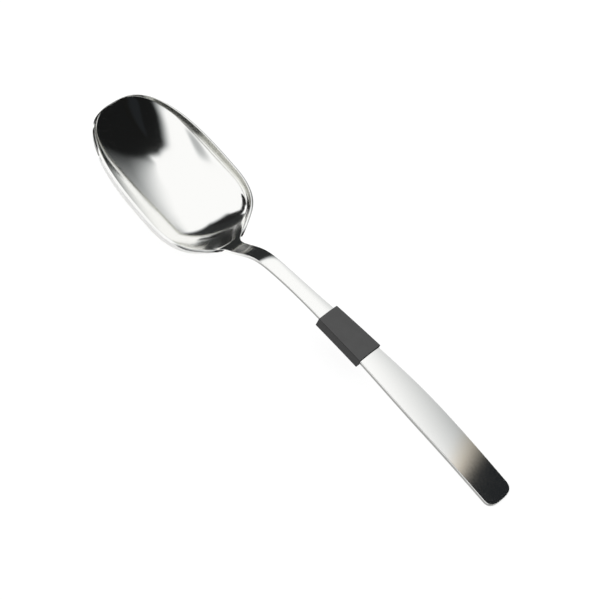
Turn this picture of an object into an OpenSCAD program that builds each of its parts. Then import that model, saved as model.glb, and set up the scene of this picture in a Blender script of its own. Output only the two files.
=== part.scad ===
// Serving spoon pressed from polished stainless sheet, with a soft grip sleeve moulded round its handle.
// It lies as it rests on a table: the bowl's floor and the handle's end both touch the plane z = 0.
// X runs from the bowl's tip to the handle's end, Y across the spoon and Z up. Lengths are in millimetres.
// Distances along the spoon are measured from the bowl's tip.

/* [Bowl] */
// Length of the steel from the bowl's tip to the handle's end
spoon_l = 298; // [285:1:315]
// Width of the bowl's mouth inside the rim
bowl_w = 67.4; // [61:0.2:73]
// Depth from the rim to the floor at the widest place
bowl_depth = 22.7; // [17:0.1:26]
// Distance from the tip to the widest place
wide_at = 65; // [61.5:0.5:67.5]
// Distance from the tip to the heel corners
heel_at = 88.2; // [86:0.1:90]
// Width across the heel corners
heel_w = 54.2; // [50:0.1:58]
// Distance from the tip to where the rise of the tip ends in the floor
floor_end_at = 80.4; // [74:0.2:84]
// Distance from the tip to the bend of the floor up to the neck
scoop_at = 80.8; // [78:0.2:82.4]
// Angle of the floor up to the neck
scoop_angle = 30; // [27:0.5:33]
// Softness of the bend of the floor up to the neck
scoop_softness = 8; // [5:0.1:9.6]
// Softness of the floor's meeting with the neck
scoop_blend = 1; // [0.6:0.1:1.6]
// Distance from the tip to where the crown of the strip starts
hollow_end_at = 98; // [95:1:100]
// Softness of the heel corners
heel_blend = 5; // [3:0.5:6]
// Thickness of the steel in the bowl
bowl_t = 1.4; // [1:0.1:1.8]
// Angle that the rim rises towards the tip
rim_angle = 10.9; // [7.9:0.1:13.9]

/* [Neck] */
// Width of the neck at its narrowest
neck_w = 9.8; // [8:0.1:12]
// Distance from the tip to where the strip starts to widen
neck_end_at = 135.3; // [128:0.1:142]
// Softness of the fillets between the shoulders and the neck
neck_blend = 4.3; // [3:0.1:6]
// Angle between a shoulder's edge and the spoon's length
shoulder_angle = 65.3; // [59:0.1:69]
// Distance from the tip to the bend down at the heel
drop_at = 85.1; // [83.6:0.1:86.6]
// Angle of the strip down from the heel to the neck
drop_angle = 34; // [28:1:38]
// Distance from the tip to the bend up at the neck
climb_at = 98; // [96.6:0.2:99.6]
// Angle of the strip up from the neck
climb_angle = 40.8; // [32.8:0.2:44.8]
// Distance from the tip to the bend into the handle
level_at = 115.3; // [112.7:0.2:117.7]
// Angle of the handle down from that bend
level_angle = 1; // [0:0.5:4]
// Softness of the two bends beside the neck
neck_softness = 4.7; // [3:0.1:7]
// Softness of the bend into the handle
level_softness = 7.9; // [5:0.1:12]

/* [Handle] */
// Greatest width of the handle
handle_w = 20.3; // [17:0.1:24]
// Distance from the tip to the handle's greatest width
handle_wide_at = 246; // [236:1:256]
// Width at the handle's end before its corners are rounded
end_w = 19.9; // [16.5:0.1:23.5]
// Length of the rounded corners at the handle's end
end_round = 6.3; // [4.5:0.1:8.5]
// Thickness of the steel in the neck and handle
handle_t = 2; // [1.6:0.1:2.6]
// Rise of the handle's middle above its edges
handle_crown = 0.5; // [0.2:0.1:0.8]
// Distance from the tip to the middle of the handle's arch
arch_at = 231.5; // [223.5:0.5:239.5]
// Softness of the handle's arch
arch_softness = 81; // [61:1:101]

/* [Grip sleeve] */
// Distance from the tip to the sleeve
grip_at = 165.5; // [160:0.1:170]
// Length of the sleeve
grip_l = 31.5; // [26:0.5:37]
// Thickness of the sleeve's sides at the end towards the bowl
grip_front_wall = 1.7; // [1.2:0.1:2.4]
// Thickness of the sleeve's sides at the end towards the handle's end
grip_back_wall = 0.9; // [0.5:0.1:1.5]
// Thickness of the sleeve over the handle
grip_top_wall = 1.1; // [0.8:0.1:2.6]
// Thickness of the sleeve under the handle
grip_bottom_wall = 2.6; // [1.5:0.1:3.3]
// Rise of the sleeve's middle above its top edges
grip_crown = 0.5; // [0.2:0.1:1]
// Length of the slot through the handle under the sleeve
slot_l = 16; // [10:0.5:22]
// Width of the slot through the handle
slot_w = 4; // [3:0.1:5]
// Gap between the sleeve and the steel all round
grip_clearance = 0.1; // [0.06:0.01:0.15]

/* [Hidden] */

// Powers of the curves: 2 draws an ellipse, and more draws a squarer one
tip_power = 2.8;
taper_power = 2.5;
end_power = 2.79;
wall_power = 13;
floor_power = 2.9;
rise_power = 2.18;
rise_root = 1.11;
// Share of the bowl's depth that a gentle dish takes between the steep sides, and the dish's power
dish_share = 0.664;
dish_power = 1.98;

// Counts of rows along the spoon and of columns across half of it
tip_rows = 16;
heel_rows = 24;
neck_rows = 15;
handle_rows = 18;
end_rows = 6;
half_columns = 12;
// Power that crowds the columns towards the rim
column_power = 2.4;
pocket_rows = 8;
pocket_columns = 8;

// Quarter turn that runs through every quadrant curve
quarter = 90;
// Share of the way in from the rim at which a normal is measured, and the step over which it is measured
normal_share = 0.012;
normal_step = 0.1;
// Where the thickness changes from the bowl's to the handle's
thin_end_at = wide_at;
thick_start_at = neck_end_at;
// Overrun of every cut past the faces that it cuts
overrun = 1;
// Depth to which the sleeve's bridge runs into its top and bottom walls
bridge_root = 0.6;

// Ramp that turns from 0 to a slope of 1 about u = 0, over a softness of k
function soft_ramp(u, k) = (u + sqrt(u * u + k * k)) / 2;
// Lesser and greater of two values, blended where they are nearly equal
function soft_min(a, b, k) = (a + b - sqrt((a - b) * (a - b) + k * k)) / 2;
function soft_max(a, b, k) = (a + b + sqrt((a - b) * (a - b) + k * k)) / 2;
// Ramp from 0 to a slope of 1 whose turn takes only the range from -k to k
function short_ramp(u, k) = u <= -k ? 0 : u >= k ? u : (u + k) * (u + k) / (4 * k);
// Clamp to the range 0 to 1, and two smooth steps from 0 to 1 over it
function clamp(t) = min(max(t, 0), 1);
function step_3(t) = let (c = clamp(t)) c * c * (3 - 2 * c);
function step_5(t) = let (c = clamp(t)) c * c * c * (10 - 15 * c + 6 * c * c);
// Quadrant curve from 1 at t = 0 to 0 at t = 1
function quadrant(t, p, q) = pow(max(1 - pow(clamp(t), p), 0), 1 / q);

// Half width of the bowl's mouth: a squared ellipse up to the widest place and a soft taper behind it
function mouth_half(x) = x < wide_at
    ? bowl_w / 2 * quadrant(1 - x / wide_at, tip_power, tip_power)
    : bowl_w / 2 - (bowl_w - heel_w) / 2 * pow((x - wide_at) / (heel_at - wide_at), taper_power);
// Half width between the two straight shoulders
function shoulder_half(x) = heel_w / 2 - tan(shoulder_angle) * (x - heel_at);
// Half width of the strip in the neck and the handle, before the end is rounded
function strip_half(x) = x < handle_wide_at
    ? neck_w / 2 + (handle_w - neck_w) / 2 * step_3((x - neck_end_at) / (handle_wide_at - neck_end_at))
    : handle_w / 2 - (handle_w - end_w) / 2 * pow((x - handle_wide_at) / (spoon_l - handle_wide_at), 2);
// Half width before the end is rounded: the blends grow from nothing at the widest place
function full_half(x) = let (grown = step_5((x - wide_at) / (floor_end_at - wide_at))) x < wide_at
    ? mouth_half(x)
    : soft_max(soft_min(mouth_half(x), shoulder_half(x), heel_blend * grown), strip_half(x), neck_blend * grown);
// Half width of the whole outline
function outline_half(x) = full_half(x) * quadrant((x - spoon_l + end_round) / end_round, end_power, end_power);

// Height of the strip's edges from the tip to the bend into the handle, then straight on
function bent_z(x) = bowl_t + bowl_depth + tan(rim_angle) * (wide_at - x)
    - (tan(drop_angle) - tan(rim_angle)) * soft_ramp(x - drop_at, neck_softness)
    + (tan(climb_angle) + tan(drop_angle)) * soft_ramp(x - climb_at, neck_softness)
    - (tan(level_angle) + tan(climb_angle)) * soft_ramp(x - level_at, level_softness);
// Slope that the arch adds, so that the middle of the handle's end comes down to the table
arch_slope = (bent_z(spoon_l) - handle_t + handle_crown) / soft_ramp(spoon_l - arch_at, arch_softness);
// Height of the strip's edges: the rim in the bowl, and the side edges of the neck and the handle
function edge_z(x) = bent_z(x) - arch_slope * soft_ramp(x - arch_at, arch_softness);
// Slope of the edges
function edge_slope(x) = slope_of(edge_z(x - normal_step), edge_z(x + normal_step));
// Slope between two heights a double step apart
function slope_of(z_0, z_1) = (z_1 - z_0) / (2 * normal_step);

// Height of the floor's middle where it scoops up to the neck
function scoop_z(x) = bowl_t + tan(scoop_angle) * short_ramp(x - scoop_at, scoop_softness);
// Depth of the middle below the edges: it closes towards the tip and where the scoop meets the neck
function hollow_depth(x) = quadrant(1 - x / floor_end_at, rise_power, rise_root)
    * short_ramp(edge_z(x) - scoop_z(x), scoop_blend);
// Rise of the middle above the edges at y, in the neck and the handle
function crown_z(x, y) = handle_crown * step_5((x - hollow_end_at) / (neck_end_at - hollow_end_at))
    * (1 - pow(y / strip_half(x), 2));
// Share of the depth across the bowl: 1 in the middle, falling along the dish and then down the steep sides to 0
function wall_share(v) = (1 - dish_share) * quadrant(v, wall_power, floor_power)
    + dish_share * (1 - pow(clamp(v), dish_power));
// Height of the top face at x and y
function top_z(x, y) = edge_z(x) + crown_z(x, y)
    - hollow_depth(x) * wall_share(abs(y) / max(outline_half(x), normal_step));
// Point of the top face at x, at the share v of the half width
function top_point(x, v) = let (y = v * outline_half(x))
    [x, y, abs(v) < 1 ? top_z(x, y) : edge_z(x) + crown_z(x, y)];
// Thickness of the steel
function steel_t(x) = bowl_t + (handle_t - bowl_t) * step_3((x - thin_end_at) / (thick_start_at - thin_end_at));
// Unit normal of the top face, measured a little way in from the rim
function top_normal(x, v) =
    let (x_in = x + normal_share * max(wide_at - x, 0), y_in = (1 - normal_share) * v * outline_half(x))
    let (along = slope_of(top_z(x_in - normal_step, y_in), top_z(x_in + normal_step, y_in)))
    let (across = slope_of(top_z(x_in, y_in - normal_step), top_z(x_in, y_in + normal_step)))
    [-along, -across, 1] / norm([-along, -across, 1]);
// Point of the under face below a point of the top face
function under_point(x, v) = top_point(x, v) - steel_t(x) * top_normal(x, v);

// Places of the rows between the tip's point and the end's point
tip_xs = [for (i = [1 : tip_rows]) wide_at * (1 - pow(cos(quarter * i / tip_rows), 2 / tip_power))];
heel_xs = [for (i = [1 : heel_rows]) wide_at + (hollow_end_at - wide_at) * i / heel_rows];
neck_xs = [for (i = [1 : neck_rows]) hollow_end_at + (neck_end_at - hollow_end_at) * i / neck_rows];
handle_xs = [for (i = [1 : handle_rows])
    neck_end_at + (spoon_l - end_round - neck_end_at) * i / handle_rows];
end_xs = [for (i = [1 : end_rows - 1])
    spoon_l - end_round * (1 - pow(sin(quarter * i / end_rows), 2 / end_power))];
row_xs = concat(tip_xs, heel_xs, neck_xs, handle_xs, end_xs);
// Shares of the half width at the columns, closer together towards the rim
column_shares = [for (j = [-half_columns : half_columns])
    sign(j) * (1 - pow(1 - abs(j) / half_columns, column_power))];
rows = len(row_xs);
columns = len(column_shares);

// Points of the steel: two at the tip, two at the end, then the top rows and the under rows
tip_normal = top_normal(0, 0);
end_normal = top_normal(spoon_l, 0);
tip_top = top_point(0, 0);
end_top = top_point(spoon_l, 0);
end_points = [tip_top, tip_top - bowl_t * tip_normal, end_top, end_top - handle_t * end_normal];
top_points = [for (x = row_xs, v = column_shares) top_point(x, v)];
under_points = [for (x = row_xs, v = column_shares) under_point(x, v)];
steel_points = concat(end_points, top_points, under_points);
// Shift that puts the origin under the middle of the spoon, on the table
steel_xs = [for (p = steel_points) p[0]];
steel_zs = [for (p = steel_points) p[2]];
part_shift = [-(min(steel_xs) + max(steel_xs)) / 2, 0, -min(steel_zs)];

// Two triangles of a four-sided patch whose corners run clockwise as seen from outside
function patch(a, b, c, d) = [[a, b, c], [a, c, d]];
// Numbers of a point of the top face and of the under face in the list of points
function top_index(i, j) = len(end_points) + i * columns + j;
function under_index(i, j) = top_index(i, j) + rows * columns;

module steel_body() {
    last_row = rows - 1;
    last_column = columns - 1;
    top_faces = [for (i = [0 : last_row - 1], j = [0 : last_column - 1])
        each patch(top_index(i, j), top_index(i, j + 1), top_index(i + 1, j + 1), top_index(i + 1, j))];
    under_faces = [for (i = [0 : last_row - 1], j = [0 : last_column - 1])
        each patch(under_index(i, j), under_index(i + 1, j), under_index(i + 1, j + 1), under_index(i, j + 1))];
    side_faces = [for (i = [0 : last_row - 1]) each concat(
        patch(top_index(i, 0), top_index(i + 1, 0), under_index(i + 1, 0), under_index(i, 0)),
        patch(top_index(i + 1, last_column), top_index(i, last_column),
            under_index(i, last_column), under_index(i + 1, last_column)))];
    tip_faces = [for (j = [0 : last_column - 1]) each [
        [0, top_index(0, j + 1), top_index(0, j)],
        [1, under_index(0, j), under_index(0, j + 1)]]];
    end_faces = [for (j = [0 : last_column - 1]) each [
        [2, top_index(last_row, j), top_index(last_row, j + 1)],
        [3, under_index(last_row, j + 1), under_index(last_row, j)]]];
    tip_edge_faces = concat(
        patch(0, top_index(0, 0), under_index(0, 0), 1),
        patch(top_index(0, last_column), 0, 1, under_index(0, last_column)));
    end_edge_faces = concat(
        patch(top_index(last_row, 0), 2, 3, under_index(last_row, 0)),
        patch(2, top_index(last_row, last_column), under_index(last_row, last_column), 3));
    polyhedron(steel_points,
        concat(top_faces, under_faces, side_faces, tip_faces, end_faces, tip_edge_faces, end_edge_faces));
}

// Point at y across and w above the strip's edges, square to the strip at x
function strip_point(x, y, w) = let (s = edge_slope(x), n = [-s, 0, 1] / sqrt(1 + s * s))
    [x, y, edge_z(x)] + w * n;
// Height of the handle's crown at the share s of a half width
function crown_w(s) = handle_crown * (1 - s * s);
// Section of the handle with the sleeve's gap round it: its top from left to right, then its under face back
function pocket_section(x) = let (half = strip_half(x) + grip_clearance) concat(
    [for (s = pocket_shares) strip_point(x, s * half, grip_clearance + crown_w(s))],
    [for (s = pocket_shares) strip_point(x, -s * half, -handle_t - grip_clearance + crown_w(s))]);
pocket_shares = [for (j = [-pocket_columns / 2 : pocket_columns / 2]) 2 * j / pocket_columns];
pocket_xs = [for (i = [0 : pocket_rows]) grip_at - overrun + (grip_l + 2 * overrun) * i / pocket_rows];

// Body of the handle inside the sleeve, longer than the sleeve and larger by its gap
module grip_pocket() {
    sections = [for (x = pocket_xs) pocket_section(x)];
    count = 2 * len(pocket_shares);
    last = len(sections) - 1;
    long_faces = [for (i = [0 : last - 1], j = [0 : count - 1]) let (k = (j + 1) % count)
        each patch(i * count + j, i * count + k, (i + 1) * count + k, (i + 1) * count + j)];
    front_faces = [for (j = [0 : count / 2 - 2]) each patch(j + 1, j, count - 1 - j, count - 2 - j)];
    back_faces = [for (j = [0 : count / 2 - 2])
        each patch(last * count + j, last * count + j + 1, (last + 1) * count - 2 - j, (last + 1) * count - 1 - j)];
    polyhedron([for (section = sections, p = section) p], concat(long_faces, front_faces, back_faces));
}

// Middle of the sleeve, and the sleeve's top at its middle above the strip's edges
grip_mid = grip_at + grip_l / 2;
grip_top = handle_crown + grip_top_wall;
// Half widths of the sleeve at its two ends
grip_front_half = strip_half(grip_at) + grip_front_wall;
grip_back_half = strip_half(grip_at + grip_l) + grip_back_wall;

// Frame on the strip at the sleeve's middle: X along the strip and Z square to it
module at_grip() {
    translate([grip_mid, 0, edge_z(grip_mid)]) rotate([0, -atan(edge_slope(grip_mid)), 0]) children();
}

// Prism that stands through the handle's slot, narrower than the slot by the gap all round
module slot_prism(gap, low, high) {
    round_at = (slot_l - slot_w) / 2;
    translate([0, 0, low]) linear_extrude(high - low) {
        square([2 * round_at, slot_w - 2 * gap], center = true);
        for (side = [-1, 1]) translate([side * round_at, 0]) circle(slot_w / 2 - gap, $fn = 48);
    }
}

// Block with upright sides that widens towards the handle's end, under a crowned top
module grip_block() {
    crown_r = (grip_back_half * grip_back_half + grip_crown * grip_crown) / (2 * grip_crown);
    intersection() {
        translate([0, 0, -handle_t - grip_bottom_wall]) linear_extrude(grip_top + handle_t + grip_bottom_wall)
            polygon([[-grip_l / 2, -grip_front_half], [grip_l / 2, -grip_back_half],
                [grip_l / 2, grip_back_half], [-grip_l / 2, grip_front_half]]);
        translate([0, 0, grip_top - crown_r]) rotate([0, 90, 0])
            cylinder(r = crown_r, h = grip_l + 2 * overrun, center = true, $fn = 360);
    }
}

module steel_spoon() {
    color([0.78, 0.79, 0.8]) translate(part_shift) difference() {
        steel_body();
        at_grip() slot_prism(0, -handle_t - overrun, handle_crown + overrun);
    }
}

module grip_sleeve() {
    color([0.31, 0.31, 0.31]) translate(part_shift) union() {
        difference() {
            at_grip() grip_block();
            grip_pocket();
        }
        at_grip() slot_prism(grip_clearance, -handle_t - bridge_root, handle_crown + bridge_root);
    }
}

steel_spoon();
grip_sleeve();
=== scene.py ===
import bpy
import math
import numpy as np
from mathutils import Matrix, Vector


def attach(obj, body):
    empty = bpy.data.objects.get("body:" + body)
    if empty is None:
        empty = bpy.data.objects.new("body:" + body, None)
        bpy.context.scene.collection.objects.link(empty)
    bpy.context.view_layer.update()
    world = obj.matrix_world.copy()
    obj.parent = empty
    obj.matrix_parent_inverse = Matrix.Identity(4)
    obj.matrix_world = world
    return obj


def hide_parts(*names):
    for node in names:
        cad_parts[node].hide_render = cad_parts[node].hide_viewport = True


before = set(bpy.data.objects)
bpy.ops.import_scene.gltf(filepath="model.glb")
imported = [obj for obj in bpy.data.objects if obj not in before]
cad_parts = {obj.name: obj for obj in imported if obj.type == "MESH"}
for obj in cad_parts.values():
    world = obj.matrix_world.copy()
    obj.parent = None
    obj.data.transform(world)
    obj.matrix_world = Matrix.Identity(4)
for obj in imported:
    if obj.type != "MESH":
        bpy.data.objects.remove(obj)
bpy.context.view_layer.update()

# Camera: it looks down on the spoon from the near side, about 48 degrees above the table, rolled so that the
# bowl's tip comes to the upper left. Its place was fitted to edges of the spoon measured in the photograph.
camera_back = Vector((0.26779, -0.61494, 0.74171)).normalized()
camera_down = Vector((0.63770, -0.46395, -0.61489))
camera_right = camera_back.cross(camera_down).normalized()
camera_up = camera_back.cross(camera_right)
camera_distance = 1.150
sensor_mm = 36.0
pixels_per_metre = 1882.92
frame_pixels = 600
spoon_middle = Vector((0.00157, 0.0, 0.01499))
# The middle of the frame lies a little left of and above that point
aim_left, aim_up = 3.23 / pixels_per_metre, 0.89 / pixels_per_metre
aim = spoon_middle - camera_right * aim_left + camera_up * aim_up
eye = spoon_middle + camera_back * camera_distance
look = (eye - aim).normalized()
look_right = camera_up.cross(look).normalized()
look_up = look.cross(look_right)
camera_data = bpy.data.cameras.new("studio_camera")
camera_data.sensor_width = sensor_mm
camera_data.lens = pixels_per_metre * camera_distance / frame_pixels * sensor_mm
camera = bpy.data.objects.new("studio_camera", camera_data)
bpy.context.scene.collection.objects.link(camera)
camera.matrix_world = Matrix.Translation(eye) @ Matrix((look_right, look_up, look)).transposed().to_4x4()
bpy.context.scene.camera = camera

# Spoon: one strip of stainless steel, blanked, pressed to a deep bowl at one end, cranked at the neck and arched
# along the handle, then polished all over with its edges just broken. Lengths are in millimetres, from the tip.
spoon_l, bowl_w, bowl_depth, wide_at, heel_at, heel_w = 298.0, 67.4, 22.7, 65.0, 88.2, 54.2
floor_end_at, hollow_end_at, heel_blend, bowl_t, rim_angle = 80.4, 98.0, 5.0, 1.4, 10.9
scoop_at, scoop_angle, scoop_softness, scoop_blend = 80.8, 30.0, 8.0, 1.0
neck_w, neck_end_at, neck_blend, shoulder_angle = 9.8, 135.3, 4.3, 65.3
drop_at, drop_angle, climb_at, climb_angle, level_at, level_angle = 85.1, 34.0, 98.0, 40.8, 115.3, 1.0
neck_softness, level_softness = 4.7, 7.9
handle_w, handle_wide_at, end_w, end_round, handle_t, handle_crown = 20.3, 246.0, 19.9, 6.3, 2.0, 0.5
arch_at, arch_softness = 231.5, 81.0
tip_power, taper_power, end_power, wall_power, floor_power = 2.8, 2.5, 2.79, 13.0, 2.9
rise_power, rise_root, dish_share, dish_power = 2.18, 1.11, 0.664, 1.98
edge_r = 0.3
mm, sliver = 0.001, 1e-6


# Curves that the form is drawn with: two ramps with a soft start, two smooth steps and a quarter of an oval
def slope(angle):
    return math.tan(math.radians(angle))


def soft_ramp(u, k):
    return (u + np.sqrt(u * u + k * k)) / 2


def short_ramp(u, k):
    return np.where(u < k, np.maximum(u + k, 0) ** 2 / (4 * k), u)


def step_3(t):
    t = np.clip(t, 0, 1)
    return t * t * (3 - 2 * t)


def step_5(t):
    t = np.clip(t, 0, 1)
    return t ** 3 * (10 - 15 * t + 6 * t * t)


def quadrant(t, p, q):
    return np.maximum(1 - np.clip(t, 0, 1) ** p, 0) ** (1 / q)


# Half the width of the strip alone, and of the whole outline
def strip_half(x):
    widening = neck_w / 2 + (handle_w - neck_w) / 2 * step_3((x - neck_end_at) / (handle_wide_at - neck_end_at))
    closing = handle_w / 2 - (handle_w - end_w) / 2 * ((x - handle_wide_at) / (spoon_l - handle_wide_at)) ** 2
    return np.where(x < handle_wide_at, widening, closing)


def outline_half(x):
    mouth = np.where(
        x < wide_at,
        bowl_w / 2 * quadrant(1 - x / wide_at, tip_power, tip_power),
        bowl_w / 2 - (bowl_w - heel_w) / 2 * np.maximum((x - wide_at) / (heel_at - wide_at), 0) ** taper_power)
    grown = step_5((x - wide_at) / (floor_end_at - wide_at))
    shoulder = heel_w / 2 - slope(shoulder_angle) * (x - heel_at)
    heel = (mouth + shoulder - np.sqrt((mouth - shoulder) ** 2 + (heel_blend * grown) ** 2)) / 2
    strip = strip_half(x)
    neck = (heel + strip + np.sqrt((heel - strip) ** 2 + (neck_blend * grown) ** 2)) / 2
    return np.where(x < wide_at, mouth, neck) * quadrant((x - spoon_l + end_round) / end_round, end_power, end_power)


# Height of the edge: down over the heel, up and level again at the neck, then over the arch of the handle
def bent_z(x):
    return (bowl_t + bowl_depth + slope(rim_angle) * (wide_at - x)
            - (slope(drop_angle) - slope(rim_angle)) * soft_ramp(x - drop_at, neck_softness)
            + (slope(climb_angle) + slope(drop_angle)) * soft_ramp(x - climb_at, neck_softness)
            - (slope(level_angle) + slope(climb_angle)) * soft_ramp(x - level_at, level_softness))


arch_slope = (bent_z(spoon_l) - handle_t + handle_crown) / soft_ramp(spoon_l - arch_at, arch_softness)


def edge_z(x):
    return bent_z(x) - arch_slope * soft_ramp(x - arch_at, arch_softness)


# Top face: the edge's height less the bowl's depth there, plus the handle's crown
def top_z(x, y):
    scoop_z = bowl_t + slope(scoop_angle) * short_ramp(x - scoop_at, scoop_softness)
    depth = quadrant(1 - x / floor_end_at, rise_power, rise_root) * short_ramp(edge_z(x) - scoop_z, scoop_blend)
    along_neck = (x - hollow_end_at) / (neck_end_at - hollow_end_at)
    crown = handle_crown * step_5(along_neck) * (1 - (y / strip_half(x)) ** 2)
    v = np.minimum(np.abs(y) / np.maximum(outline_half(x), sliver), 1)
    wall = (1 - dish_share) * quadrant(v, wall_power, floor_power) + dish_share * (1 - v ** dish_power)
    return edge_z(x) - depth * wall + crown


def top_point(x, v):
    y = v * outline_half(x)
    return np.stack(np.broadcast_arrays(x, y, top_z(x, y)), -1)


def unit(a):
    return a / np.linalg.norm(a, axis=-1, keepdims=True)


def top_normal(x, v):
    # Measured a little way in from the rim, where the pressed side has its full slope
    inwards, step = 0.012, 0.1
    x_in, y_in = x + inwards * np.maximum(wide_at - x, 0), (1 - inwards) * v * outline_half(x)
    along = (top_z(x_in + step, y_in) - top_z(x_in - step, y_in)) / (2 * step)
    across = (top_z(x_in, y_in + step) - top_z(x_in, y_in - step)) / (2 * step)
    return unit(np.stack(np.broadcast_arrays(-along, -across, 1.0), -1))


def steel_t(x):
    return bowl_t + (handle_t - bowl_t) * step_3((x - wide_at) / (neck_end_at - wide_at))


# Rows along the spoon, closer together where the tip and the end turn, and columns closer together in the walls
quarter = math.pi / 2
tip_rows, bowl_rows, neck_rows, handle_rows, end_rows = 64, 80, 50, 60, 20
row_x = np.concatenate((
    wide_at * (1 - np.cos(quarter * np.arange(1, tip_rows + 1) / tip_rows) ** (2 / tip_power)),
    np.linspace(wide_at, hollow_end_at, bowl_rows + 1)[1:],
    np.linspace(hollow_end_at, neck_end_at, neck_rows + 1)[1:],
    np.linspace(neck_end_at, spoon_l - end_round, handle_rows + 1)[1:],
    spoon_l - end_round * (1 - np.sin(quarter * np.arange(1, end_rows) / end_rows) ** (2 / end_power))))
half_columns, column_reach = 52, 0.984
column_v = column_reach * np.sin(quarter * np.arange(-half_columns, half_columns + 1) / half_columns)
column_v = np.concatenate(([-1.0], column_v, [1.0]))
rows, columns = len(row_x), len(column_v)

# The rim runs from the tip along the right side to the handle's end and back along the left side
rim_x = np.concatenate(([0.0], row_x, [spoon_l], row_x[::-1]))
rim_v = np.concatenate(([0.0], np.ones(rows), [0.0], -np.ones(rows)))
rim = top_point(rim_x, rim_v)
rim_run = unit(np.roll(rim, -1, 0) - np.roll(rim, 1, 0))
rim_up = top_normal(rim_x, rim_v)
rim_up = unit(rim_up - (rim_up * rim_run).sum(-1, keepdims=True) * rim_run)
rim_out = np.cross(rim_up, rim_run)
rim_t = steel_t(rim_x)[:, None]
inset = rim - edge_r * rim_out

# Faces: every row runs between two points of the rim drawn in by the rounding of the edge
row_mid = inset[0, 0] + row_x * (inset[rows + 1, 0] - inset[0, 0]) / spoon_l
right_xy, left_xy = inset[1:rows + 1, :2], inset[:rows + 1:-1, :2]
side_x = np.where(column_v[None, :] > 0, right_xy[:, :1], left_xy[:, :1])
grid_x = row_mid[:, None] + (side_x - row_mid[:, None]) * column_v[None, :] ** 2
side_y = np.where(column_v[None, :] > 0, right_xy[:, 1:], -left_xy[:, 1:])
grid_v = np.clip(column_v[None, :] * side_y / np.maximum(outline_half(grid_x), sliver), -1, 1)
top_face = top_point(grid_x, grid_v)
under_face = top_face - steel_t(grid_x)[..., None] * top_normal(grid_x, grid_v)
top_face[:, -1], top_face[:, 0] = inset[1:rows + 1], inset[:rows + 1:-1]
under_rim = inset - rim_t * rim_up
under_face[:, -1], under_face[:, 0] = under_rim[1:rows + 1], under_rim[:rows + 1:-1]

# Edge: the rounding off the top face, the flat of the cut and the rounding into the under face
edge_steps = 4
turns = [quarter * k / edge_steps for k in range(edge_steps + 1)]
edge_rings = [inset + edge_r * (math.sin(a) * rim_out - (1 - math.cos(a)) * rim_up) for a in turns[1:]]
edge_rings += [inset - (rim_t - edge_r * (1 - math.sin(a))) * rim_up + edge_r * math.sin(quarter - a) * rim_out
               for a in turns[:-1]]

poles = [inset[[0, rows + 1]], under_rim[[0, rows + 1]]]
points = np.concatenate([top_face.reshape(-1, 3), under_face.reshape(-1, 3)] + poles + edge_rings)
under_at = rows * columns
pole_at = 2 * rows * columns
ring_at = pole_at + 4
rim_count = len(rim)


def top_at(i, j):
    return i * columns + j


steel_faces = []
for i in range(rows - 1):
    for j in range(columns - 1):
        a, b, c, d = top_at(i, j), top_at(i + 1, j), top_at(i + 1, j + 1), top_at(i, j + 1)
        steel_faces.append((a, b, c, d))
        steel_faces.append((under_at + d, under_at + c, under_at + b, under_at + a))
last = rows - 1
for j in range(columns - 1):
    steel_faces.append((pole_at, top_at(0, j), top_at(0, j + 1)))
    steel_faces.append((pole_at + 2, under_at + top_at(0, j + 1), under_at + top_at(0, j)))
    steel_faces.append((pole_at + 1, top_at(last, j + 1), top_at(last, j)))
    steel_faces.append((pole_at + 3, under_at + top_at(last, j), under_at + top_at(last, j + 1)))
top_loop = [pole_at] + [top_at(i, columns - 1) for i in range(rows)]
top_loop += [pole_at + 1] + [top_at(i, 0) for i in range(rows - 1, -1, -1)]
under_loop = [pole_at + 2] + [under_at + top_at(i, columns - 1) for i in range(rows)]
under_loop += [pole_at + 3] + [under_at + top_at(i, 0) for i in range(rows - 1, -1, -1)]
loops = [top_loop] + [[ring_at + k * rim_count + i for i in range(rim_count)] for k in range(len(edge_rings))]
loops += [under_loop]
for upper, lower in zip(loops, loops[1:]):
    for i in range(rim_count):
        n = (i + 1) % rim_count
        steel_faces.append((upper[i], lower[i], lower[n], upper[n]))

# The spoon's place: its middle over the origin and its lowest point on the table
shift_x = -(points[:, 0].min() + points[:, 0].max()) / 2
shift_z = -points[:, 2].min()
points = (points + np.array((shift_x, 0.0, shift_z))) * mm

steel_mesh = bpy.data.meshes.new("polished_spoon")
steel_mesh.from_pydata(points.tolist(), [], steel_faces)
steel_mesh.validate()
steel_mesh.shade_smooth()
# The cut edge round the handle keeps a mark for its rougher finish and its painted shade, which fades out along the
# neck
cut_fade_l, cut_rings = 30.0, range(edge_steps // 2, 3 * edge_steps // 2)
edge_shade_share = np.zeros(len(points))
for k in cut_rings:
    ring = slice(ring_at + k * rim_count, ring_at + (k + 1) * rim_count)
    edge_shade_share[ring] = step_3((rim_x - hollow_end_at) / cut_fade_l)
steel_mesh.attributes.new("cut_edge_shade", "FLOAT", "POINT").data.foreach_set("value", edge_shade_share)


def set_down(name, mesh):
    made = bpy.data.objects.new(name, mesh)
    bpy.context.scene.collection.objects.link(made)
    return made


def bare_finish(name):
    made = bpy.data.materials.new(name)
    made.use_nodes = True
    made.node_tree.nodes.clear()
    return made


def linear(code):
    parts = [int(code[k:k + 2], 16) / 255 for k in (1, 3, 5)]
    return tuple(p / 12.92 if p <= 0.04045 else ((p + 0.055) / 1.055) ** 2.4 for p in parts) + (1.0,)


def add_node(tree, kind, inputs=None, **settings):
    made = tree.nodes.new(kind)
    for name, value in settings.items():
        setattr(made, name, value)
    for name, value in (inputs or {}).items():
        if isinstance(value, bpy.types.NodeSocket):
            tree.links.new(value, made.inputs[name])
        else:
            made.inputs[name].default_value = value
    return made


spoon = set_down("polished_spoon", steel_mesh)
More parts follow.
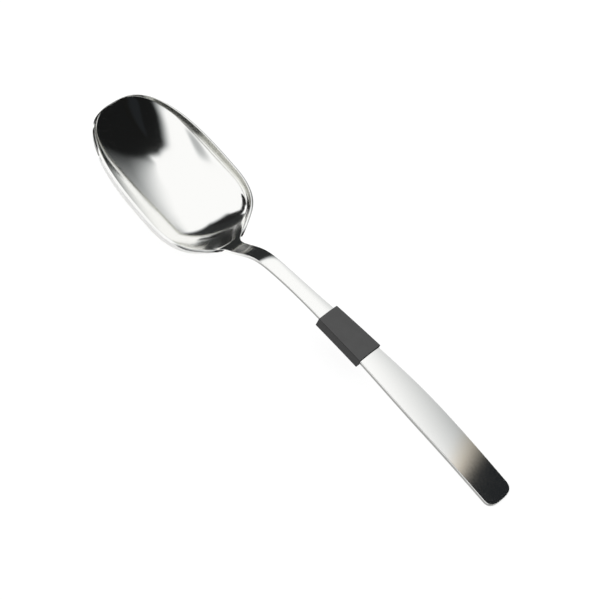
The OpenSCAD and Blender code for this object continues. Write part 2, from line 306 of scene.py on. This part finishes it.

# Polished stainless steel, 18/8 sheet, buffed along its length: a near mirror with a faint satin veil. The
# handle's cut edge is only tumbled, so it is rougher; its grey is painted shade, which draws a thin dark line along
# the handle.
steel = bare_finish("buffed_stainless_steel")
tree = steel.node_tree
where = add_node(tree, "ShaderNodeTexCoord")
# Buffing lines lie along the spoon: about 0.05 mm apart in the steel, drawn 0.4 mm apart so that they show
lines_per_m, strokes_per_m = 2500.0, 60.0
along = add_node(tree, "ShaderNodeMapping", {"Vector": where.outputs["Object"],
                                             "Scale": (strokes_per_m, lines_per_m, lines_per_m)})
lines = add_node(tree, "ShaderNodeTexNoise", {"Vector": along.outputs["Vector"], "Scale": 1.0, "Detail": 3.0})
veil = add_node(tree, "ShaderNodeMapRange", {"Value": lines.outputs["Fac"], "From Min": 0.3, "From Max": 0.7,
                                             "To Min": 0.07, "To Max": 0.12})
cut = add_node(tree, "ShaderNodeAttribute", attribute_name="cut_edge_shade").outputs["Fac"]
# Painted shade: the cut edge's darker grey stands in for the shaded table that it mirrors; its roughness is real
steel_tone_and_edge_shade = add_node(tree, "ShaderNodeMix", {0: cut, 6: linear("#fbfbf9"), 7: linear("#a3a3a1")}, data_type="RGBA")
rough = add_node(tree, "ShaderNodeMix", {0: cut, 2: veil.outputs["Result"], 3: 0.35})
gloss = add_node(tree, "ShaderNodeBsdfPrincipled", {"Base Color": steel_tone_and_edge_shade.outputs[2], "Metallic": 1.0,
                                                    "Roughness": rough.outputs[0]})
add_node(tree, "ShaderNodeOutputMaterial", {"Surface": gloss.outputs["BSDF"]})
steel_mesh.materials.append(steel)
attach(spoon, "root")
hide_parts("steel_spoon")

# Grip sleeve: a short collar of dark grey soft-touch elastomer, moulded round the handle's strip as one piece.
# Its sides stand upright, its top is slightly crowned, and its edges are crisp with only the mould's tiny radius.
grip_at, grip_l, grip_edge_r = 165.5, 31.5, 0.3
grip_front_wall, grip_back_wall, grip_top_wall, grip_bottom_wall, grip_crown = 1.7, 0.9, 1.1, 2.6, 0.5
strip_gap, corner_steps, side_cuts = 0.05, 4, 5
span, near = grip_l / 2, 0.2
grip_mid = grip_at + span
strip_front, strip_back = float(strip_half(grip_at)), float(strip_half(grip_at + grip_l))
grip_slope = float(edge_z(grip_mid + near) - edge_z(grip_mid - near)) / (2 * near)
grip_bend = float(edge_z(grip_mid + span) + edge_z(grip_mid - span) - 2 * edge_z(grip_mid)) / span ** 2 / 2
grip_sizes = {
    "Length": grip_l, "Crown": grip_crown, "Bend": grip_bend, "Edge radius": grip_edge_r,
    "Front half width": strip_front + grip_front_wall, "Back half width": strip_back + grip_back_wall,
    "Top": handle_crown + grip_top_wall - grip_crown, "Bottom": handle_t + grip_bottom_wall,
    "Strip front half width": strip_front + strip_gap, "Strip back half width": strip_back + strip_gap,
    "Strip gap": strip_gap, "Strip thickness": handle_t}
grip_tree = bpy.data.node_groups.new("sleeve_round_the_strip", "GeometryNodeTree")
grip_tree.interface.new_socket("Sleeve", in_out="OUTPUT", socket_type="NodeSocketGeometry")
grip_ids = {}
for name in list(grip_sizes) + ["Finish"]:
    socket_type = "NodeSocketMaterial" if name == "Finish" else "NodeSocketFloat"
    grip_ids[name] = grip_tree.interface.new_socket(name, in_out="INPUT", socket_type=socket_type).identifier
tree = grip_tree
size = add_node(tree, "NodeGroupInput").outputs
# Three closed outlines: the sleeve's outside, the pocket round the strip, and the cut along one wall
front_and_back = add_node(tree, "ShaderNodeMath",
                          {0: size["Front half width"], 1: size["Back half width"]}, operation="ADD")
height = add_node(tree, "ShaderNodeMath", {0: size["Top"], 1: size["Bottom"]}, operation="ADD")
outside = add_node(tree, "GeometryNodeCurvePrimitiveQuadrilateral",
                   {"Width": front_and_back.outputs[0], "Height": height.outputs[0]}, mode="RECTANGLE")
strip_width = add_node(tree, "ShaderNodeMath",
                       {0: size["Strip front half width"], 1: size["Strip back half width"]}, operation="ADD")
strip_height = add_node(tree, "ShaderNodeMath",
                        {0: size["Strip gap"], 1: 2.0, 2: size["Strip thickness"]}, operation="MULTIPLY_ADD")
pocket = add_node(tree, "GeometryNodeCurvePrimitiveQuadrilateral",
                  {"Width": strip_width.outputs[0], "Height": strip_height.outputs[0]}, mode="RECTANGLE")
wall = add_node(tree, "GeometryNodeCurvePrimitiveQuadrilateral", {"Width": size["Length"], "Height": 2.0},
                mode="RECTANGLE")
outlines = []
for outline in (outside, pocket, wall):
    rounded = add_node(tree, "GeometryNodeFilletCurve", {"Curve": outline.outputs[0], "Count": corner_steps,
                                                         "Radius": size["Edge radius"]}, mode="POLY")
    divided = add_node(tree, "GeometryNodeSubdivideCurve", {"Curve": rounded.outputs[0], "Cuts": side_cuts})
    outlines.append(divided.outputs[0])
outside, pocket, wall = outlines
# A ring of quads with one point for each point of the outside and each point of the wall's cut
across = add_node(tree, "GeometryNodeAttributeDomainSize", {"Geometry": outside}, component="CURVE")
across = across.outputs["Point Count"]
around = add_node(tree, "GeometryNodeAttributeDomainSize", {"Geometry": wall}, component="CURVE")
around = around.outputs["Point Count"]
ring = add_node(tree, "GeometryNodeCurvePrimitiveCircle", {"Resolution": across, "Radius": 2.0})
section = add_node(tree, "GeometryNodeCurvePrimitiveCircle", {"Resolution": around, "Radius": 1.0})
collar = add_node(tree, "GeometryNodeCurveToMesh", {"Curve": ring.outputs[0], "Profile Curve": section.outputs[0]})
number = add_node(tree, "GeometryNodeInputIndex").outputs[0]
turn = add_node(tree, "FunctionNodeIntegerMath", {0: number, 1: around}, operation="DIVIDE_FLOOR").outputs[0]
step = add_node(tree, "FunctionNodeIntegerMath", {0: number, 1: around}, operation="FLOORED_MODULO").outputs[0]
spot = add_node(tree, "GeometryNodeInputPosition").outputs[0]
parts = []
for curve, at in ((outside, turn), (pocket, turn), (wall, step)):
    found = add_node(tree, "GeometryNodeSampleIndex", {"Geometry": curve, "Value": spot, "Index": at},
                     data_type="FLOAT_VECTOR", domain="POINT")
    parts.append(add_node(tree, "ShaderNodeSeparateXYZ", {"Vector": found.outputs[0]}).outputs)
outside, pocket, wall = parts
# Share of the wall from the pocket out, share of the length from the front, and the half widths there
out_share = add_node(tree, "ShaderNodeMath", {0: wall["Y"], 1: 0.5, 2: 0.5}, operation="MULTIPLY_ADD").outputs[0]
back_share = add_node(tree, "ShaderNodeMath", {0: wall["X"], 1: size["Length"]}, operation="DIVIDE")
back_share = add_node(tree, "ShaderNodeMath", {0: back_share.outputs[0], 1: 0.5}, operation="ADD").outputs[0]
outside_half = add_node(tree, "ShaderNodeMix", {0: back_share, 2: size["Front half width"],
                                                3: size["Back half width"]}).outputs[0]
pocket_half = add_node(tree, "ShaderNodeMix", {0: back_share, 2: size["Strip front half width"],
                                               3: size["Strip back half width"]}).outputs[0]
ys = []
for part, half, whole in ((outside, outside_half, front_and_back), (pocket, pocket_half, strip_width)):
    share = add_node(tree, "ShaderNodeMath", {0: part["X"], 1: whole.outputs[0]}, operation="DIVIDE")
    share = add_node(tree, "ShaderNodeMath", {0: share.outputs[0], 1: 2.0}, operation="MULTIPLY")
    ys.append(add_node(tree, "ShaderNodeMath", {0: share.outputs[0], 1: half}, operation="MULTIPLY").outputs[0])
y = add_node(tree, "ShaderNodeMix", {0: out_share, 2: ys[1], 3: ys[0]}).outputs[0]
# Heights above the strip's edges: the outside hangs lower than the pocket
drop = add_node(tree, "ShaderNodeMath", {0: size["Top"], 1: size["Bottom"]}, operation="SUBTRACT")
drop = add_node(tree, "ShaderNodeMath", {0: drop.outputs[0], 1: 0.5, 2: outside["Y"]}, operation="MULTIPLY_ADD")
sink = add_node(tree, "ShaderNodeMath", {0: size["Strip thickness"], 1: -0.5, 2: pocket["Y"]},
                operation="MULTIPLY_ADD")
z = add_node(tree, "ShaderNodeMix", {0: out_share, 2: sink.outputs[0], 3: drop.outputs[0]}).outputs[0]
# The crown lifts the top and the pocket in the middle, and leaves the underside flat
half = add_node(tree, "ShaderNodeMix", {0: out_share, 2: pocket_half, 3: outside_half}).outputs[0]
off = add_node(tree, "ShaderNodeMath", {0: y, 1: half}, operation="DIVIDE").outputs[0]
off = add_node(tree, "ShaderNodeMath", {0: off, 1: off}, operation="MULTIPLY").outputs[0]
lift = add_node(tree, "ShaderNodeMath", {0: 1.0, 1: off}, operation="SUBTRACT", use_clamp=True).outputs[0]
lift = add_node(tree, "ShaderNodeMath", {0: lift, 1: size["Crown"]}, operation="MULTIPLY").outputs[0]
floor_z = add_node(tree, "ShaderNodeMath", {0: size["Bottom"], 1: -1.0}, operation="MULTIPLY").outputs[0]
strip_z = add_node(tree, "ShaderNodeMath", {0: size["Strip thickness"], 1: -1.0}, operation="MULTIPLY").outputs[0]
lifted = add_node(tree, "ShaderNodeMapRange", {"Value": z, "From Min": floor_z, "From Max": strip_z}).outputs[0]
z = add_node(tree, "ShaderNodeMath", {0: lift, 1: lifted, 2: z}, operation="MULTIPLY_ADD").outputs[0]
# The whole sleeve follows the arch of the strip
run = add_node(tree, "ShaderNodeMath", {0: wall["X"], 1: wall["X"]}, operation="MULTIPLY").outputs[0]
z = add_node(tree, "ShaderNodeMath", {0: run, 1: size["Bend"], 2: z}, operation="MULTIPLY_ADD").outputs[0]
there = add_node(tree, "ShaderNodeCombineXYZ", {"X": wall["X"], "Y": y, "Z": z})
collar = add_node(tree, "GeometryNodeSetPosition", {"Geometry": collar.outputs[0], "Position": there.outputs[0]})
seated = add_node(tree, "GeometryNodeTransform", {
    "Geometry": collar.outputs[0], "Scale": (mm, mm, mm), "Rotation": (0.0, -math.atan(grip_slope), 0.0),
    "Translation": ((grip_mid + shift_x) * mm, 0.0, (float(edge_z(grip_mid)) + shift_z) * mm)})
smooth = add_node(tree, "GeometryNodeSetShadeSmooth", {"Geometry": seated.outputs[0]})
solid = add_node(tree, "GeometryNodeRealizeInstances", {"Geometry": smooth.outputs[0]})
finished = add_node(tree, "GeometryNodeSetMaterial", {"Geometry": solid.outputs[0], "Material": size["Finish"]})
add_node(tree, "NodeGroupOutput", {"Sleeve": finished.outputs[0]})

# Soft-touch thermoplastic elastomer, injection moulded: a dead matt skin that takes a broad dim sheen
elastomer = bare_finish("soft_touch_elastomer")
tree = elastomer.node_tree
where = add_node(tree, "ShaderNodeTexCoord")
# The mould's spark-eroded grain is about 0.1 mm across, drawn at 0.4 mm so that it shows
grains_per_m, clouds_per_m = 2500.0, 180.0
grain = add_node(tree, "ShaderNodeTexNoise", {"Vector": where.outputs["Object"], "Scale": grains_per_m,
                                              "Detail": 2.0})
cloud = add_node(tree, "ShaderNodeTexNoise", {"Vector": where.outputs["Object"], "Scale": clouds_per_m,
                                              "Detail": 3.0})
tone = add_node(tree, "ShaderNodeMix", {0: cloud.outputs["Fac"], 6: linear("#454545"), 7: linear("#4d4d4d")},
                data_type="RGBA")
# Painted shade: the rounded edges and the two ends are painted darker than the grained faces
facing = add_node(tree, "ShaderNodeVectorMath", {0: where.outputs["Normal"]}, operation="ABSOLUTE")
facing = add_node(tree, "ShaderNodeSeparateXYZ", {0: facing.outputs[0]}).outputs
broad_faces_unshaded = add_node(tree, "ShaderNodeMath", {0: facing["Y"], 1: facing["Z"]}, operation="MAXIMUM").outputs[0]
broad_faces_unshaded = add_node(tree, "ShaderNodeMapRange", {"Value": broad_faces_unshaded, "From Min": 0.8, "From Max": 0.98}).outputs[0]
tone = add_node(tree, "ShaderNodeMix", {0: broad_faces_unshaded, 6: linear("#141414"), 7: tone.outputs[2]}, data_type="RGBA")
# Painted shade: the side walls are painted a little darker than the top, by which way they face
painted_side_shade = add_node(tree, "ShaderNodeMapRange", {"Value": facing["Z"], "From Min": 0.3, "From Max": 0.8,
                                                "To Min": 0.8}).outputs[0]
tone = add_node(tree, "ShaderNodeVectorMath", {0: tone.outputs[2], "Scale": painted_side_shade}, operation="SCALE")
dull = add_node(tree, "ShaderNodeMapRange", {"Value": grain.outputs["Fac"], "To Min": 0.6, "To Max": 0.8})
pits = add_node(tree, "ShaderNodeBump", {"Height": grain.outputs["Fac"], "Strength": 0.25, "Distance": 0.0001})
skin = add_node(tree, "ShaderNodeBsdfPrincipled", {
    "Base Color": tone.outputs[0], "Roughness": dull.outputs["Result"], "Normal": pits.outputs["Normal"],
    "IOR": 1.5, "Specular IOR Level": 0.35})
add_node(tree, "ShaderNodeOutputMaterial", {"Surface": skin.outputs["BSDF"]})

seed = set_down("sleeve_seed", bpy.data.meshes.new("sleeve_seed"))
maker = seed.modifiers.new("sleeve", "NODES")
maker.node_group = grip_tree
for name, value in grip_sizes.items():
    maker[grip_ids[name]] = value
maker[grip_ids["Finish"]] = elastomer
seen_seed = seed.evaluated_get(bpy.context.evaluated_depsgraph_get())
sleeve_mesh = bpy.data.meshes.new_from_object(seen_seed)
sleeve_mesh.name = "grip_collar"
seed.modifiers.clear()
bpy.data.objects.remove(seed)
sleeve = set_down("grip_collar", sleeve_mesh)
weighted = sleeve.modifiers.new("flat_faces_stay_flat", "WEIGHTED_NORMAL")
weighted.weight = 100
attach(sleeve, "root")
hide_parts("grip_sleeve")

# Table and room: a white table of paper laid over a light panel, which runs far out on every side, in a room
# that is bright and even all round. The spoon rests on it.
table_half, panel_glow = 5.0, 0.85
table_mesh = bpy.data.meshes.new("white_table")
table_mesh.from_pydata([(-table_half, -table_half, 0), (table_half, -table_half, 0), (table_half, table_half, 0),
                        (-table_half, table_half, 0)], [], [(0, 1, 2, 3)])
table = set_down("white_table", table_mesh)
# Matt coated paper with light shining through it, so that it looks white and its shadow stays faint
paper = bare_finish("white_paper_table")
tree = paper.node_tree
chalk = add_node(tree, "ShaderNodeBsdfDiffuse", {"Color": linear("#7c7c7c")})
ray = add_node(tree, "ShaderNodeLightPath")
seen = add_node(tree, "ShaderNodeMath", {0: ray.outputs["Is Camera Ray"], 1: ray.outputs["Is Glossy Ray"]},
                operation="ADD", use_clamp=True)
seen = add_node(tree, "ShaderNodeMath", {0: seen.outputs[0], 1: ray.outputs["Is Transmission Ray"]},
                operation="ADD", use_clamp=True)
through = add_node(tree, "ShaderNodeMath", {0: seen.outputs[0], 1: panel_glow}, operation="MULTIPLY")
glow = add_node(tree, "ShaderNodeEmission", {"Strength": through.outputs[0]})
both = add_node(tree, "ShaderNodeAddShader", {0: chalk.outputs[0], 1: glow.outputs[0]})
add_node(tree, "ShaderNodeOutputMaterial", {"Surface": both.outputs[0]})
table_mesh.materials.append(paper)

room = bpy.data.worlds.new("studio_room")
bpy.context.scene.world = room
room.use_nodes = True
tree = room.node_tree
tree.nodes.clear()
walls = add_node(tree, "ShaderNodeBackground", {"Color": linear("#ffffff"), "Strength": 1.0})
add_node(tree, "ShaderNodeOutputWorld", {"Surface": walls.outputs[0]})

# Studio tent: a white dome of nylon cloth on a frame, with two openings on the dark room. One opening lies beyond
# the handle and one beyond the bowl's tip, and the cloth between them hangs in shade. Only the polished steel
# shows it.
tent_r, tent_x = 4.0, -0.085
tent_points, tent_faces = [(tent_x, 0.0, tent_r)], []
turns_round, turns_up, hem_angle, hem_to_top = 72, 30, -6, 96
for i in range(turns_up):
    low = math.radians(hem_angle + hem_to_top * i / turns_up)
    for j in range(turns_round):
        side = 2 * math.pi * j / turns_round
        tent_points.append((tent_x + tent_r * math.cos(low) * math.cos(side),
                            tent_r * math.cos(low) * math.sin(side), tent_r * math.sin(low)))
for i in range(turns_up):
    for j in range(turns_round):
        n = (j + 1) % turns_round
        a, b = 1 + i * turns_round + j, 1 + i * turns_round + n
        if i < turns_up - 1:
            tent_faces.append((a, a + turns_round, b + turns_round, b))
        else:
            tent_faces.append((a, 0, b))
tent_mesh = bpy.data.meshes.new("studio_tent")
tent_mesh.from_pydata(tent_points, [], tent_faces)
tent = set_down("studio_tent", tent_mesh)
tent.visible_camera = tent.visible_diffuse = tent.visible_transmission = tent.visible_shadow = False

# Bleached nylon lit from outside: it glows evenly, and fades softly where it is shaded or cut away. Its patterns
# are drawn by bearing and height, in degrees.
arch_bearing, arch_half_w, arch_top, arch_side_power, arch_top_power = 10.0, 60.0, 67.0, 1.7, 2.3
arch_lean, arch_glow = -0.45, 0.0095
brow_low_at, brow_high_at, brow_low, brow_high, brow_glow = 112.0, 146.0, 27.0, 49.5, 0.028
shade_at, shade_lean, shade_w, shade_least = 79.4, -0.58, 54.0, 0.02
curve_low_at, curve_high_at, curve_low, curve_high = 30.0, 66.0, 1.2, 0.0
patch_bearing, patch_half_w, patch_height, patch_half_h, patch_depth = 275.0, 10.0, 30.0, 28.0, 0.5
cloth = bare_finish("white_tent_cloth")
tree = cloth.node_tree
where = add_node(tree, "ShaderNodeTexCoord")
# Bearing and height of each spot of the tent as the bowl sees it, in degrees
spot = add_node(tree, "ShaderNodeVectorMath", {0: where.outputs["Object"], 1: (-tent_x, 0.0, 0.0)}, operation="ADD")
spot = add_node(tree, "ShaderNodeVectorMath", {0: spot.outputs[0]}, operation="NORMALIZE")
spot = add_node(tree, "ShaderNodeSeparateXYZ", {0: spot.outputs[0]}).outputs
bearing = add_node(tree, "ShaderNodeMath", {0: spot["Y"], 1: spot["X"]}, operation="ARCTAN2").outputs[0]
bearing = add_node(tree, "ShaderNodeMath", {0: bearing}, operation="DEGREES").outputs[0]
height = add_node(tree, "ShaderNodeMath", {0: spot["Z"]}, operation="ARCSINE").outputs[0]
height = add_node(tree, "ShaderNodeMath", {0: height}, operation="DEGREES").outputs[0]
turned = add_node(tree, "ShaderNodeMath", {0: bearing, 1: 360.0}, operation="ADD").outputs[0]
turned = add_node(tree, "ShaderNodeMath", {0: turned, 1: 360.0}, operation="MODULO").outputs[0]
# Opening beyond the handle: an arched top, and a left side that leans outwards
parts = []
for value, low, high, power in ((bearing, arch_bearing, arch_bearing + arch_half_w, arch_side_power),
                                (height, 0.0, arch_top, arch_top_power)):
    part = add_node(tree, "ShaderNodeMapRange", {"Value": value, "From Min": low, "From Max": high}, clamp=False)
    part = add_node(tree, "ShaderNodeMath", {0: part.outputs[0], 1: 0.0}, operation="MAXIMUM").outputs[0]
    parts.append(add_node(tree, "ShaderNodeMath", {0: part, 1: power}, operation="POWER").outputs[0])
first = add_node(tree, "ShaderNodeMath", {0: parts[0], 1: parts[1]}, operation="ADD").outputs[0]
left_side = add_node(tree, "ShaderNodeMath", {0: height, 1: arch_lean, 2: bearing},
                     operation="MULTIPLY_ADD").outputs[0]
# Opening beyond the tip: its upper edge climbs like a brow from 27 to 50 degrees
top_edge = add_node(tree, "ShaderNodeMapRange", {"Value": turned, "From Min": brow_low_at, "From Max": brow_high_at,
                                                 "To Min": brow_low, "To Max": brow_high}).outputs[0]
second = add_node(tree, "ShaderNodeMath", {0: height, 1: top_edge}, operation="SUBTRACT").outputs[0]
# Soft edges of cloth: each is a value that fades between two limits
edges = []
for value, low, high in ((first, 1.08, 0.9), (left_side, -66.0, -34.0), (second, 6.0, -5.0),
                         (turned, 104.0, 114.0), (turned, 182.0, 176.0), (turned, 34.0, 42.0)):
    edges.append(add_node(tree, "ShaderNodeMapRange", {"Value": value, "From Min": low, "From Max": high},
                          interpolation_type="SMOOTHSTEP").outputs[0])
first = add_node(tree, "ShaderNodeMath", {0: edges[0], 1: edges[1]}, operation="MULTIPLY").outputs[0]
second = add_node(tree, "ShaderNodeMath", {0: edges[2], 1: edges[3]}, operation="MULTIPLY").outputs[0]
second = add_node(tree, "ShaderNodeMath", {0: second, 1: edges[4]}, operation="MULTIPLY").outputs[0]
# Shaded cloth between them: it brightens away from the first opening, the sooner the higher it hangs
start = add_node(tree, "ShaderNodeMath", {0: height, 1: shade_lean, 2: shade_at},
                 operation="MULTIPLY_ADD").outputs[0]
stop = add_node(tree, "ShaderNodeMath", {0: start, 1: shade_w}, operation="ADD").outputs[0]
share = add_node(tree, "ShaderNodeMapRange", {"Value": turned, "From Min": start, "From Max": stop,
                                              "To Min": shade_least}).outputs[0]
curve = add_node(tree, "ShaderNodeMapRange", {"Value": height, "From Min": curve_low_at, "From Max": curve_high_at,
                                              "To Min": curve_low, "To Max": curve_high}).outputs[0]
shade = add_node(tree, "ShaderNodeMath", {0: share, 1: curve}, operation="POWER").outputs[0]
shade = add_node(tree, "ShaderNodeMix", {0: edges[5], 2: 1.0, 3: shade}).outputs[0]
# A grey patch low on the near side, where the camera and its stand are
aside = add_node(tree, "ShaderNodeMapRange", {"Value": turned, "From Min": patch_bearing,
                                              "From Max": patch_bearing + patch_half_w}, clamp=False).outputs[0]
aside = add_node(tree, "ShaderNodeMath", {0: aside, 1: aside}, operation="MULTIPLY").outputs[0]
above = add_node(tree, "ShaderNodeMapRange", {"Value": height, "From Min": patch_height,
                                              "From Max": patch_height + patch_half_h}, clamp=False).outputs[0]
apart = add_node(tree, "ShaderNodeMath", {0: above, 1: above, 2: aside}, operation="MULTIPLY_ADD").outputs[0]
patch = add_node(tree, "ShaderNodeMapRange", {"Value": apart, "From Min": 1.0, "From Max": 0.0,
                                              "To Max": patch_depth}, interpolation_type="SMOOTHSTEP").outputs[0]
for part, glow in ((patch, 0.0), (first, arch_glow), (second, brow_glow)):
    shade = add_node(tree, "ShaderNodeMix", {0: part, 2: shade, 3: glow}).outputs[0]
# Shaded cloth is a little cooler
tint = add_node(tree, "ShaderNodeMix", {0: shade, 6: linear("#eff4f5"), 7: linear("#ffffff")}, data_type="RGBA")
glow = add_node(tree, "ShaderNodeEmission", {"Color": tint.outputs[2], "Strength": shade})
add_node(tree, "ShaderNodeOutputMaterial", {"Surface": glow.outputs[0]})
tent_mesh.materials.append(cloth)

# Black flags: two sheets of wool felt on stands, which only the polished steel shows. The large one stands upright
# beyond the handle's end. The small one lies level, clear above the bowl's tip, and keeps light off the heel.
worn_from, worn_to, thin_from, thin_to = -0.014, 0.012, 0.004, 0.03
# Each: bearing and lean in degrees, distance and shift in metres, tone, slant and place of its worn edge, corners
flags = {
    "handle_flag": (68.0, 0.0, 0.20869, -0.12054, "#202224", 0.25, 0.0814,
                    [(-0.08, 0.06), (0.1064, 0.06), (-0.0036, 0.5), (-0.08, 0.5)]),
    "heel_flag": (0.0, 90.0, 0.072, 0.0, "#1e1e1e", 0.0, 0.2,
                  [(0.048, 0.13), (0.022, 0.13), (0.012, 0.146), (-0.03, 0.147), (-0.06, 0.15), (-0.08, 0.17),
                   (-0.096, 0.19), (-0.108, 0.252), (-0.054, 0.252), (-0.036, 0.222), (-0.02, 0.186),
                   (0.012, 0.177), (0.042, 0.15)])}
for name, (turn, lean, off, along, tone, slant, edge_at, corners) in flags.items():
    turn, lean = math.radians(turn), math.radians(lean)
    side = Vector((-math.sin(turn), math.cos(turn), 0.0))
    out = Vector((side.y, -side.x, 0.0)) * math.cos(lean) + Vector((0.0, 0.0, math.sin(lean)))
    rise = out.cross(side)
    spots = [out * off + side * (along + u) + rise * v for u, v in corners]
    mesh = bpy.data.meshes.new(name)
    mesh.from_pydata(spots, [], [tuple(range(len(corners)))])
    # Wool felt: it drinks the light evenly, with a trace of it left. Past its slanting edge it turns to a warm
    # worn hem, which thins out.
    felt = bare_finish("felt_of_" + name)
    tree = felt.node_tree
    where = add_node(tree, "ShaderNodeTexCoord")
    past = add_node(tree, "ShaderNodeVectorMath", {0: where.outputs["Object"], 1: side + Vector((0.0, 0.0, slant))},
                    operation="DOT_PRODUCT")
    past = add_node(tree, "ShaderNodeMath", {0: past.outputs["Value"], 1: -along - edge_at},
                    operation="ADD").outputs[0]
    worn = add_node(tree, "ShaderNodeMapRange", {"Value": past, "From Min": worn_from, "From Max": worn_to},
                    interpolation_type="SMOOTHSTEP").outputs[0]
    thin = add_node(tree, "ShaderNodeMapRange", {"Value": past, "From Min": thin_from, "From Max": thin_to},
                    interpolation_type="SMOOTHSTEP").outputs[0]
    hem = add_node(tree, "ShaderNodeMix", {0: worn, 6: linear("#000000"), 7: linear("#f1e6d6")}, data_type="RGBA")
    hem = add_node(tree, "ShaderNodeMix", {0: thin, 6: hem.outputs[2], 7: linear("#ffffff")}, data_type="RGBA")
    clear = add_node(tree, "ShaderNodeBsdfTransparent", {"Color": hem.outputs[2]})
    whole = add_node(tree, "ShaderNodeMath", {0: 1.0, 1: worn}, operation="SUBTRACT")
    glow = add_node(tree, "ShaderNodeEmission", {"Color": linear(tone), "Strength": whole.outputs[0]})
    weave = add_node(tree, "ShaderNodeAddShader", {0: glow.outputs[0], 1: clear.outputs[0]})
    add_node(tree, "ShaderNodeOutputMaterial", {"Surface": weave.outputs[0]})
    mesh.materials.append(felt)
    flag = set_down(name, mesh)
    flag.visible_camera = flag.visible_diffuse = flag.visible_transmission = flag.visible_shadow = False
# The bowl mirrors itself several times in the steep wall below its rim
bpy.context.scene.cycles.glossy_bounces = 12

bpy.context.scene.view_settings.view_transform = "Standard"
